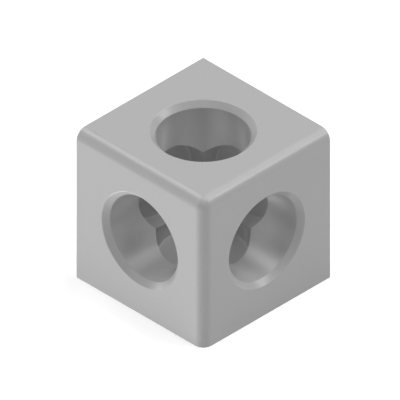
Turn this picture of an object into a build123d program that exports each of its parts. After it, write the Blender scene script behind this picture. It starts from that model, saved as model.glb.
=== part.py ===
"""Three-way corner connector for slotted aluminium framing with a 30 mm square section.

One cast cube joins the ends of three profiles that meet at a corner of a frame.  Each profile butts
against a flat mating face (-X, +Y or -Z), and a screw through that wall holds it.  The screw and its key
go in from the opposite side, through a drafted access bore, and the screw's head sits on the bore's flat
end.  The three bores differ only in their draft, and cross at the cube's centre, the part's origin.
"""

import math
import os

from build123d import *

# Cube, in millimetres: the side is that of the profiles it joins.
cube_side = 30.0
outer_edge_radius = 2.0

# Access bores, in millimetres and degrees.  The diameter is at the foot of the rim's chamfer,
# and the wall narrows from there by the draft that lets the casting come off its cores.  The top
# bore is nearly straight, and the two side bores taper more.
access_bore_diameter = 16.0
rim_chamfer = 1.0
side_draft_angle = 1.5
top_draft_angle = 0.25

# Seats for the screws' heads and the clearance holes through them, for M8 screws, in millimetres.
seat_wall = 4.5
seat_chamfer = 0.4
screw_hole_diameter = 8.5

half_side = cube_side / 2
screw_hole_radius = screw_hole_diameter / 2
chamfer_foot = half_side - rim_chamfer
chamfer_foot_radius = access_bore_diameter / 2
rim_radius = chamfer_foot_radius + rim_chamfer
seat_height = seat_wall - half_side

# The corner of the cube that stays in view on a finished frame points this way from the centre.
outer_corner = Axis(origin=(0, 0, 0), direction=(1, -1, 1))

# Each bore's plane and draft.  In the plane, local x runs from the cube's centre out of the mouth,
# and local y is the radius.
bores = [
    (Plane(origin=(0, 0, 0), x_dir=(1, 0, 0), z_dir=(0, 0, 1)), side_draft_angle),
    (Plane(origin=(0, 0, 0), x_dir=(0, -1, 0), z_dir=(0, 0, 1)), side_draft_angle),
    (Plane(origin=(0, 0, 0), x_dir=(0, 0, 1), z_dir=(0, 1, 0)), top_draft_angle),
]

with BuildPart() as corner_cube:
    Box(cube_side, cube_side, cube_side)

    # Only the three edges that meet at the outer corner are rounded.  The edges of the mating faces
    # stay sharp, so that they close against the profiles without a gap.
    outer_edges = corner_cube.edges().group_by(outer_corner)[-1]
    fillet(outer_edges, radius=outer_edge_radius)

    for bore_plane, draft_angle in bores:
        draft_taper = (chamfer_foot - seat_height) * math.tan(math.radians(draft_angle))
        seat_radius = chamfer_foot_radius - draft_taper

        # Half section of one bore: screw hole, seat, drafted wall and rim chamfer.
        with BuildSketch(bore_plane) as bore_section:
            with BuildLine():
                Polyline(
                    (-half_side, 0),
                    (-half_side, screw_hole_radius),
                    (seat_height, screw_hole_radius),
                    (seat_height, seat_radius),
                    (chamfer_foot, chamfer_foot_radius),
                    (half_side, rim_radius),
                    (half_side, 0),
                    close=True,
                )
            make_face()
            seat_corner = bore_section.vertices().group_by(Axis.X)[1].sort_by(Axis.Y)[-1]
            chamfer(seat_corner, length=seat_chamfer)
        revolve(axis=Axis(bore_plane.origin, bore_plane.x_dir), mode=Mode.SUBTRACT)

corner_cube.part.label = "corner_cube"

os.makedirs("parts", exist_ok=True)
export_step(corner_cube.part, "parts/corner_cube.step")
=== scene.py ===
"""Three-way corner connector for framing: a powder-coated aluminium casting on a light table.

The file is laid out as an add-on.  Run as a script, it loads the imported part, models the casting with
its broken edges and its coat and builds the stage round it.
"""

import math

import bmesh
import bpy
from bpy.props import FloatProperty, FloatVectorProperty, IntProperty, PointerProperty
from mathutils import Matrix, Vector


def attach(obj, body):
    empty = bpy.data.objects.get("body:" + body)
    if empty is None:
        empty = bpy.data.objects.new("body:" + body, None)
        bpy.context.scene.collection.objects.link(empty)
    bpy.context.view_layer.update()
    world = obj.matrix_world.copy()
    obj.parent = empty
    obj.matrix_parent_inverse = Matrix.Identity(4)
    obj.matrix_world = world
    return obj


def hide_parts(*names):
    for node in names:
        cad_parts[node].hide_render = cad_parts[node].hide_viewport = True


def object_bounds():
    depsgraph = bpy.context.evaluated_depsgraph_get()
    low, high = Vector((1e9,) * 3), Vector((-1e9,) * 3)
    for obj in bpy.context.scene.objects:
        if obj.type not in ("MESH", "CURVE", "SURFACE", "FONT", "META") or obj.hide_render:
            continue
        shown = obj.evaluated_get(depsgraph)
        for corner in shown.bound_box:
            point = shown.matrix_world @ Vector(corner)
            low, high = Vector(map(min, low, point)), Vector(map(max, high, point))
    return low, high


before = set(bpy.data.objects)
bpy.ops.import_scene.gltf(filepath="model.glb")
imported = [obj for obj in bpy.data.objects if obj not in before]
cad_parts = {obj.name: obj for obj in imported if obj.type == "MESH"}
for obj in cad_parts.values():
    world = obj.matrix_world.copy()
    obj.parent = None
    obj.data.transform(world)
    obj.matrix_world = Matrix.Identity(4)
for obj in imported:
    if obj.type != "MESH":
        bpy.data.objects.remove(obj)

bl_info = {
    "name": "Three-Way Corner Connector",
    "version": (1, 0, 0),
    "blender": (4, 5, 0),
    "location": "View3D > Sidebar > Connector",
    "description": "Models a die-cast corner connector for framing and sets it on a studio stage",
    "category": "Object",
}

BODY = "root"
CASTING_NODE = "corner_cube"

# The scene has to be empty but for the frame when this file is loaded, since anything else in it would
# be measured too.
CAD_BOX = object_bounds()
HALF_SIDE = (CAD_BOX[1].x - CAD_BOX[0].x) / 2
MM = 0.001

# The floor is a light table's top.  It lies a hair below the cube, so that they never share a plane.
FLOOR_GAP = 0.02 * MM
FLOOR_HEIGHT = CAD_BOX[0].z - FLOOR_GAP

# Points this close to a plane or a corner count as on it.
PLACE_TOLERANCE = 0.002 * MM

# Points this close to each other are merged, and points this close to a circle count as on it.
MERGE_DISTANCE = 5 * PLACE_TOLERANCE

# A bevel with this profile is an arc of a circle.  The small ones are made of a few flat strips.
ARC_PROFILE = 0.5
SEAT_FILLET_STRIPS = 4
EDGE_BREAK_STRIPS = 2

# Only an edge whose faces turn by the first or more can be crisp.  Above the second, edges are shaded
# sharp.
CRISP_ANGLE = math.radians(30)
SHARP_ANGLE = math.radians(35)

# The corner of the cube where its three rounded edges meet, and each bore's axis (0 is X, 1 is Y, 2 is Z)
# with the side of the cube that its mouth is on, the turn that brings it there from +Z and its draft.
OUTER_CORNER = Vector((HALF_SIDE, -HALF_SIDE, HALF_SIDE))
BORES = (
    (0, 1, (0, math.radians(90), 0), "side_draft"),
    (1, -1, (math.radians(90), 0, 0), "side_draft"),
    (2, 1, (0, 0, 0), "top_draft"),
)

# The picture is square.  These place the cube in it, in the picture's own pixels.
PICTURE_WIDTH = 400
CUBE_SIDE_PIXELS = 179.7
CUBE_CENTRE_PIXEL = (203.3, 204.07)

# Along a diagonal of the cube.  The view has no perspective, so the distance changes nothing in it.
CAMERA_AZIMUTH = 45
CAMERA_ELEVATION = math.degrees(math.atan(1 / math.sqrt(2)))
CAMERA_DISTANCE = 0.3

# A noise texture's values lie mostly between these.
NOISE_RANGE = (0.3, 0.7)

# Each lamp's azimuth from the front (-Y) towards +X and its elevation, in degrees, and its strength
# in watts per square metre.
LAMPS = {
    "steep lamp under the table": (-53, -65, 1.05),
    "left lamp at table height": (-66, 2, 0.87),
    "left lamp under the table": (-41, -54, 0.78),
    "low right rear lamp": (145, 36, 0.64),
    "high rear lamp": (143, 77, 0.43),
    "rear lamp": (170, 50, 0.35),
    "high front lamp": (-27, 71, 0.33),
    "high right lamp": (110, 70, 0.29),
    "right front lamp": (40, 39, 0.29),
    "front lamp": (-17, 24, 0.25),
    "upper left lamp": (-92, 61, 0.24),
    "left lamp": (-105, 51, 0.19),
    "left front lamp": (-72, 55, 0.19),
    "left rear lamp": (-157, 53, 0.17),
    "front lamp under the table": (-3, -32, 0.16),
    "right rear lamp": (125, 40, 0.12),
}


def linear(hex_colour):
    """An sRGB hex colour as linear red, green, blue and an alpha of 1."""
    channels = [int(hex_colour[i:i + 2], 16) / 255 for i in (1, 3, 5)]
    return [c / 12.92 if c <= 0.04045 else ((c + 0.055) / 1.055) ** 2.4 for c in channels] + [1.0]


def add_node(tree, kind, settings=None, links=None):
    """Add a node of that kind, set its properties and sockets, and link other nodes' sockets into it."""
    node = tree.nodes.new(kind)
    for name, value in (settings or {}).items():
        if name in node.inputs:
            node.inputs[name].default_value = value
        else:
            setattr(node, name, value)
    for name, source in (links or {}).items():
        tree.links.new(source, node.inputs[name])
    return node


def empty_material(name):
    material = bpy.data.materials.new(name)
    material.use_nodes = True
    material.node_tree.nodes.clear()
    return material


def shade_of(colour, change):
    """The colour made lighter by that share of itself, or darker where the share is negative."""
    return [c * (1 + change) for c in colour[:3]] + [1.0]


def powder_coat(coat):
    """Satin polyester powder coat in light neutral grey, sprayed dry and baked on the casting.

    It is an opaque plastic film, so it shines softly and evenly and hides the grain of the metal.  The
    powder flows together in the oven into a skin that is never quite flat: low swells about a
    millimetre across, called orange peel, with faint specks where the pigment lies unevenly.
    """
    material = empty_material("satin grey powder coat")
    tree = material.node_tree
    place = add_node(tree, "ShaderNodeTexCoord").outputs["Object"]

    # The specks are a few hundredths of a millimetre across and would be lost at that, so they are
    # drawn as coarse as they need to show.
    specks = add_node(tree, "ShaderNodeTexNoise", {
        "Scale": 1 / coat.speck_size, "Detail": 2.0}, {"Vector": place})
    speckle = add_node(tree, "ShaderNodeValToRGB", links={"Fac": specks.outputs["Fac"]})
    darkest, lightest = speckle.color_ramp.elements
    darkest.position, lightest.position = NOISE_RANGE
    darkest.color = shade_of(coat.colour, -coat.speck_contrast)
    lightest.color = shade_of(coat.colour, coat.speck_contrast)

    peel = add_node(tree, "ShaderNodeTexNoise", {
        "Scale": 1 / coat.peel_size, "Detail": 1.0}, {"Vector": place})
    skin = add_node(tree, "ShaderNodeBump", {
        "Strength": 1.0, "Distance": coat.peel_depth}, {"Height": peel.outputs["Fac"]})
    sheen = add_node(tree, "ShaderNodeMapRange", {
        "From Min": NOISE_RANGE[0],
        "From Max": NOISE_RANGE[1],
        "To Min": coat.roughness - coat.roughness_change,
        "To Max": coat.roughness + coat.roughness_change,
    }, {"Value": specks.outputs["Fac"]})

    shader = add_node(tree, "ShaderNodeBsdfPrincipled", {
        "Metallic": 0.0,
        "IOR": 1.5,
    }, {
        "Base Color": speckle.outputs["Color"],
        "Roughness": sheen.outputs["Result"],
        "Normal": skin.outputs["Normal"],
    })
    add_node(tree, "ShaderNodeOutputMaterial", links={"Surface": shader.outputs["BSDF"]})
    return material


def looked_at(tree):
    """1 for what the camera sees, straight on, in a shine or through glass, and 0 for all other light."""
    path = add_node(tree, "ShaderNodeLightPath").outputs
    seen = path["Is Camera Ray"]
    for ray in ("Is Glossy Ray", "Is Transmission Ray"):
        either = add_node(tree, "ShaderNodeMath", {"operation": "MAXIMUM"})
        tree.links.new(seen, either.inputs[0])
        tree.links.new(path[ray], either.inputs[1])
        seen = either.outputs["Value"]
    return seen


def table_top(stage):
    """Opal acrylic sheet of a light table, matt on top.  What looks at it also sees it glow a little,
    which brings it up to white and leaves the connector's shadow on it."""
    material = empty_material("matt opal acrylic")
    tree = material.node_tree
    glow = add_node(tree, "ShaderNodeMath", {"operation": "MULTIPLY"})
    tree.links.new(looked_at(tree), glow.inputs[0])
    glow.inputs[1].default_value = stage.floor_glow
    sheet = add_node(tree, "ShaderNodeBsdfPrincipled", {
        "Base Color": stage.floor_colour,
        "Roughness": 0.9,
        "Specular IOR Level": 0.0,
        "Emission Color": (1, 1, 1, 1),
    }, {"Emission Strength": glow.outputs["Value"]})
    add_node(tree, "ShaderNodeOutputMaterial", links={"Surface": sheet.outputs["BSDF"]})
    return material


def deselect_all():
    bpy.ops.object.select_all(action="DESELECT")


def activate(piece):
    deselect_all()
    piece.select_set(True)
    bpy.context.view_layer.objects.active = piece


def select_where(piece, kind, test):
    """In edit mode, select only the piece's faces or edges that pass the test, and stop if none do."""
    bpy.ops.mesh.select_mode(type={"faces": "FACE", "edges": "EDGE"}[kind])
    bpy.ops.mesh.select_all(action="DESELECT")
    mesh = bmesh.from_edit_mesh(piece.data)
    chosen = [item for item in getattr(mesh, kind) if test(item)]
    for item in chosen:
        item.select_set(True)
    bmesh.update_edit_mesh(piece.data)
    if not chosen:
        raise RuntimeError("no " + kind + " found on " + piece.name)


def at_height(height):
    return lambda item: all(abs(v.co.z - height) < PLACE_TOLERANCE for v in item.verts)


def bore_levels(casting):
    """Heights above the centre of the chamfer's foot and of the screw's seat."""
    return HALF_SIDE - casting.rim_chamfer, casting.seat_wall - HALF_SIDE


def add_bore_core(casting, draft):
    """The shape of one bore's inside, as the die's core and the drill make it, with its mouth up."""
    foot, seat = bore_levels(casting)
    foot_radius = casting.bore_diameter / 2
    seat_radius = foot_radius - (foot - seat) * math.tan(draft)
    overshoot = casting.rim_chamfer
    deselect_all()
    bpy.ops.mesh.primitive_cone_add(
        vertices=casting.bore_facets, radius1=seat_radius, radius2=foot_radius,
        depth=foot - seat, location=(0, 0, (foot + seat) / 2))
    core = bpy.context.active_object
    core.name = "bore_core"
    bpy.ops.object.transform_apply()
    bpy.ops.object.mode_set(mode="EDIT")

    # The rim's chamfer runs on past the cube's face, so that the cut leaves no skin there.
    select_where(core, "faces", at_height(foot))
    widened = casting.rim_chamfer + overshoot
    bpy.ops.mesh.extrude_region_move(TRANSFORM_OT_translate={"value": (0, 0, widened)})
    spread = (foot_radius + widened) / foot_radius
    bpy.ops.transform.resize(value=(spread, spread, 1), center_override=(0, 0, 0))

    select_where(core, "edges", at_height(seat))
    bpy.ops.mesh.bevel(
        offset=casting.seat_fillet, segments=SEAT_FILLET_STRIPS, profile=ARC_PROFILE, affect="EDGES")

    # The screw's hole goes on from the middle of the seat, through the wall.
    select_where(core, "faces", at_height(seat))
    inset = seat_radius - casting.seat_fillet - casting.hole_diameter / 2
    bpy.ops.mesh.inset(thickness=inset, depth=0)
    bpy.ops.mesh.extrude_region_move(
        TRANSFORM_OT_translate={"value": (0, 0, -casting.seat_wall - overshoot)})
    bpy.ops.object.mode_set(mode="OBJECT")
    return core


def add_rounded_cube(casting):
    """The cube, with the three edges that meet at its outer corner rounded."""
    deselect_all()
    bpy.ops.mesh.primitive_cube_add(size=2 * HALF_SIDE)
    cube = bpy.context.active_object
    cube.name = "corner_casting"
    bpy.ops.object.mode_set(mode="EDIT")
    select_where(cube, "edges", lambda edge: any(
        (v.co - OUTER_CORNER).length < PLACE_TOLERANCE for v in edge.verts))
    bpy.ops.mesh.bevel(
        offset=casting.edge_radius, segments=casting.edge_facets, profile=ARC_PROFILE,
        affect="EDGES")
    bpy.ops.object.mode_set(mode="OBJECT")
    return cube


def cut_bores(cube, casting):
    """Cut a core from the cube along each of the three axes."""
    for _axis, _side, turn, draft in BORES:
        cutter = add_bore_core(casting, getattr(casting, draft))
        cutter.rotation_euler = turn
        activate(cutter)
        bpy.ops.object.transform_apply()
        activate(cube)
        cut = cube.modifiers.new("bore", "BOOLEAN")
        cut.operation = "DIFFERENCE"
        cut.solver = "EXACT"
        cut.object = cutter
        bpy.ops.object.modifier_apply(modifier=cut.name)
        bpy.data.objects.remove(cutter)


def is_crisp_edge(edge, casting):
    """Whether an edge is one that the tumbler and the coat soften: a corner of the cube's faces, the
    foot of a rim's chamfer or the mouth of a screw's hole."""
    if edge.calc_face_angle(0) < CRISP_ANGLE:
        return False
    foot, seat = bore_levels(casting)
    rings = ((foot, casting.bore_diameter / 2), (seat, casting.hole_diameter / 2))
    ends = [v.co for v in edge.verts]
    for axis, side, _turn, _draft in BORES:
        heights = [side * end[axis] for end in ends]
        radii = [math.hypot(*(end[i] for i in range(3) if i != axis)) for end in ends]
        for face in (HALF_SIDE, -HALF_SIDE):
            if all(abs(height - face) < PLACE_TOLERANCE for height in heights):
                return True
        for level, radius in rings:
            if all(abs(height - level) < PLACE_TOLERANCE for height in heights) and all(
                    abs(r - radius) < MERGE_DISTANCE for r in radii):
                return True
    return False


def break_edges(cube, casting):
    activate(cube)
    bpy.ops.object.mode_set(mode="EDIT")
    bpy.ops.mesh.select_all(action="SELECT")

    # The cuts leave a few points nearer to each other than this.  Which of them stays follows their
    # order, and that changes from run to run, so the mesh can change by less than this distance.
    bpy.ops.mesh.remove_doubles(threshold=MERGE_DISTANCE)
    select_where(cube, "edges", lambda edge: is_crisp_edge(edge, casting))
    bpy.ops.mesh.bevel(
        offset=casting.edge_break, segments=EDGE_BREAK_STRIPS, profile=ARC_PROFILE,
        affect="EDGES", clamp_overlap=False)
    bpy.ops.object.mode_set(mode="OBJECT")


def smooth(cube):
    """Shade the curves smooth and keep the flat faces flat."""
    activate(cube)
    bpy.ops.object.shade_smooth_by_angle(angle=SHARP_ANGLE)
    weights = cube.modifiers.new("face weights", "WEIGHTED_NORMAL")
    weights.keep_sharp = True
    bpy.ops.object.modifier_apply(modifier=weights.name)


def add_floor(stage):
    deselect_all()
    bpy.ops.mesh.primitive_plane_add(size=stage.floor_size, location=(0, 0, FLOOR_HEIGHT))
    floor = bpy.context.active_object
    floor.name = "floor"
    bpy.ops.object.transform_apply()
    floor.data.materials.append(table_top(stage))

    # Light passes through the sheet, so the lamps under it reach the connector.
    floor.visible_shadow = False


def add_lamps(stage):
    """Large soft lamps all round, far enough off that each lights the whole stage evenly.

    Three of them stand under the table and fill in the sides of the connector from below.
    """
    for name, (azimuth, elevation, strength) in LAMPS.items():
        lamp = bpy.data.objects.new(name, bpy.data.lights.new(name, "SUN"))
        lamp.data.energy = strength
        lamp.data.angle = stage.lamp_width
        bpy.context.scene.collection.objects.link(lamp)
        lamp.rotation_mode = "QUATERNION"
        lamp.rotation_quaternion = towards(azimuth, elevation).to_track_quat("Z", "Y")


def add_world():
    """White where the camera looks past the floor, and no light of its own."""
    world = bpy.data.worlds.new("studio")
    world.use_nodes = True
    tree = world.node_tree
    tree.nodes.clear()
    sky = add_node(tree, "ShaderNodeBackground", {"Color": (1, 1, 1, 1)}, {"Strength": looked_at(tree)})
    add_node(tree, "ShaderNodeOutputWorld", links={"Surface": sky.outputs["Background"]})
    bpy.context.scene.world = world


def towards(azimuth, elevation):
    """The direction of a lamp or a camera, by its azimuth and elevation in degrees."""
    turn = math.radians(azimuth)
    tilt = math.radians(elevation)
    return Vector((
        math.sin(turn) * math.cos(tilt),
        -math.cos(turn) * math.cos(tilt),
        math.sin(tilt)))


def add_camera():
    """A true isometric view."""
    back = towards(CAMERA_AZIMUTH, CAMERA_ELEVATION)
    right = Vector((0, 0, 1)).cross(back).normalized()
    up = back.cross(right)
    pixels_per_metre = CUBE_SIDE_PIXELS / (2 * HALF_SIDE)
    across = (PICTURE_WIDTH / 2 - CUBE_CENTRE_PIXEL[0]) / pixels_per_metre
    rise = (CUBE_CENTRE_PIXEL[1] - PICTURE_WIDTH / 2) / pixels_per_metre
    camera = bpy.data.objects.new("camera", bpy.data.cameras.new("camera"))
    camera.data.type = "ORTHO"
    camera.data.ortho_scale = PICTURE_WIDTH / pixels_per_metre
    bpy.context.scene.collection.objects.link(camera)
    camera.location = back * CAMERA_DISTANCE + right * across + up * rise
    camera.rotation_mode = "QUATERNION"
    camera.rotation_quaternion = back.to_track_quat("Z", "Y")
    bpy.context.scene.camera = camera


class CastingSettings(bpy.types.PropertyGroup):
    edge_radius: FloatProperty(
        name="Outer edge radius", description="Radius of the three edges that meet at the outer corner",
        subtype="DISTANCE", unit="LENGTH", default=2.0 * MM)
    bore_diameter: FloatProperty(
        name="Bore diameter", description="Diameter of an access bore at the foot of its rim's chamfer",
        subtype="DISTANCE", unit="LENGTH", default=16.0 * MM)
    rim_chamfer: FloatProperty(
        name="Rim chamfer", description="Width and depth of the chamfer round a bore's mouth",
        subtype="DISTANCE", unit="LENGTH", default=1.0 * MM)
    side_draft: FloatProperty(
        name="Side draft", description="Angle by which a side bore narrows from its mouth to its seat",
        subtype="ANGLE", unit="ROTATION", default=math.radians(1.5))
    top_draft: FloatProperty(
        name="Top draft", description="Angle by which the top bore narrows from its mouth to its seat",
        subtype="ANGLE", unit="ROTATION", default=math.radians(0.25))
    seat_wall: FloatProperty(
        name="Seat wall", description="Thickness of the wall that the screw's head sits on",
        subtype="DISTANCE", unit="LENGTH", default=4.5 * MM)
    seat_fillet: FloatProperty(
        name="Seat fillet", description="Radius between a bore's wall and its seat",
        subtype="DISTANCE", unit="LENGTH", default=0.4 * MM)
    hole_diameter: FloatProperty(
        name="Screw hole diameter", description="Diameter of the clearance hole for the screw",
        subtype="DISTANCE", unit="LENGTH", default=8.5 * MM)
    edge_break: FloatProperty(
        name="Edge break", description="Size by which tumbling and coating soften a crisp edge",
        subtype="DISTANCE", unit="LENGTH", default=0.1 * MM)
    edge_facets: IntProperty(
        name="Edge facets", description="Flat strips in a rounded edge", min=1, default=12)
    bore_facets: IntProperty(
        name="Bore facets", description="Flat strips round a bore", min=8, default=128)


class CoatSettings(bpy.types.PropertyGroup):
    colour: FloatVectorProperty(
        name="Coat colour", description="Colour of the powder coat",
        subtype="COLOR", size=4, min=0, max=1, default=linear("#B8B8B8"))
    roughness: FloatProperty(
        name="Roughness", description="How matt the coat is", subtype="FACTOR", min=0, max=1, default=0.3)
    roughness_change: FloatProperty(
        name="Roughness change", description="How much the roughness varies from speck to speck",
        subtype="FACTOR", min=0, max=1, default=0.02)
    speck_size: FloatProperty(
        name="Speck size", description="Distance between specks of pigment",
        subtype="DISTANCE", unit="LENGTH", default=0.25 * MM)
    speck_contrast: FloatProperty(
        name="Speck contrast", description="How far the specks are lighter or darker than the coat",
        subtype="FACTOR", min=0, max=1, default=0.03)
    peel_size: FloatProperty(
        name="Peel size", description="Distance between the swells of the coat's orange peel",
        subtype="DISTANCE", unit="LENGTH", default=0.9 * MM)
    peel_depth: FloatProperty(
        name="Peel depth", description="Height of the swells of the coat's orange peel",
        subtype="DISTANCE", unit="LENGTH", default=0.004 * MM)


class StageSettings(bpy.types.PropertyGroup):
    floor_colour: FloatVectorProperty(
        name="Floor colour", description="Colour of the table's top",
        subtype="COLOR", size=4, min=0, max=1, default=linear("#F4F4F4"))
    floor_size: FloatProperty(
        name="Floor size", description="Side of the square floor",
        subtype="DISTANCE", unit="LENGTH", default=2.0)
    floor_glow: FloatProperty(
        name="Floor glow", description="Light added to the floor where it is looked at",
        min=0, default=0.45)
    lamp_width: FloatProperty(
        name="Lamp width", description="Angle that each lamp takes up, seen from the connector",
        subtype="ANGLE", unit="ROTATION", default=math.radians(20))


class CONNECTOR_OT_model_casting(bpy.types.Operator):
    """Model the cast cube with its three crossing bores, break its edges and coat it"""

    bl_idname = "connector.model_casting"
    bl_label = "Model Casting"

    def execute(self, context):
        casting = context.scene.connector_casting
        cube = add_rounded_cube(casting)
        cut_bores(cube, casting)
        break_edges(cube, casting)
        smooth(cube)
        cube.data.materials.append(powder_coat(context.scene.connector_coat))
        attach(cube, BODY)
        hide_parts(CASTING_NODE)
        return {"FINISHED"}


class CONNECTOR_OT_build_stage(bpy.types.Operator):
    """Add the floor, the lamps, the world and the camera"""

    bl_idname = "connector.build_stage"
    bl_label = "Build Stage"

    def execute(self, context):
        stage = context.scene.connector_stage
        context.scene.view_settings.view_transform = "Standard"
        add_floor(stage)
        add_lamps(stage)
        add_world()
        add_camera()
        return {"FINISHED"}


class CONNECTOR_PT_panel(bpy.types.Panel):
    bl_label = "Corner Connector"
    bl_idname = "CONNECTOR_PT_panel"
    bl_space_type = "VIEW_3D"
    bl_region_type = "UI"
    bl_category = "Connector"

    def draw(self, context):
        for operator in OPERATORS:
            self.layout.operator(operator.bl_idname)


OPERATORS = (CONNECTOR_OT_model_casting, CONNECTOR_OT_build_stage)
CLASSES = (CastingSettings, CoatSettings, StageSettings) + OPERATORS + (CONNECTOR_PT_panel,)


def register():
    for cls in CLASSES:
        bpy.utils.register_class(cls)
    bpy.types.Scene.connector_casting = PointerProperty(type=CastingSettings)
    bpy.types.Scene.connector_coat = PointerProperty(type=CoatSettings)
    bpy.types.Scene.connector_stage = PointerProperty(type=StageSettings)


def unregister():
    del bpy.types.Scene.connector_stage
    del bpy.types.Scene.connector_coat
    del bpy.types.Scene.connector_casting
    for cls in reversed(CLASSES):
        bpy.utils.unregister_class(cls)


def main():
    register()
    bpy.ops.connector.model_casting()
    bpy.ops.connector.build_stage()


if __name__ == "__main__":
    main()
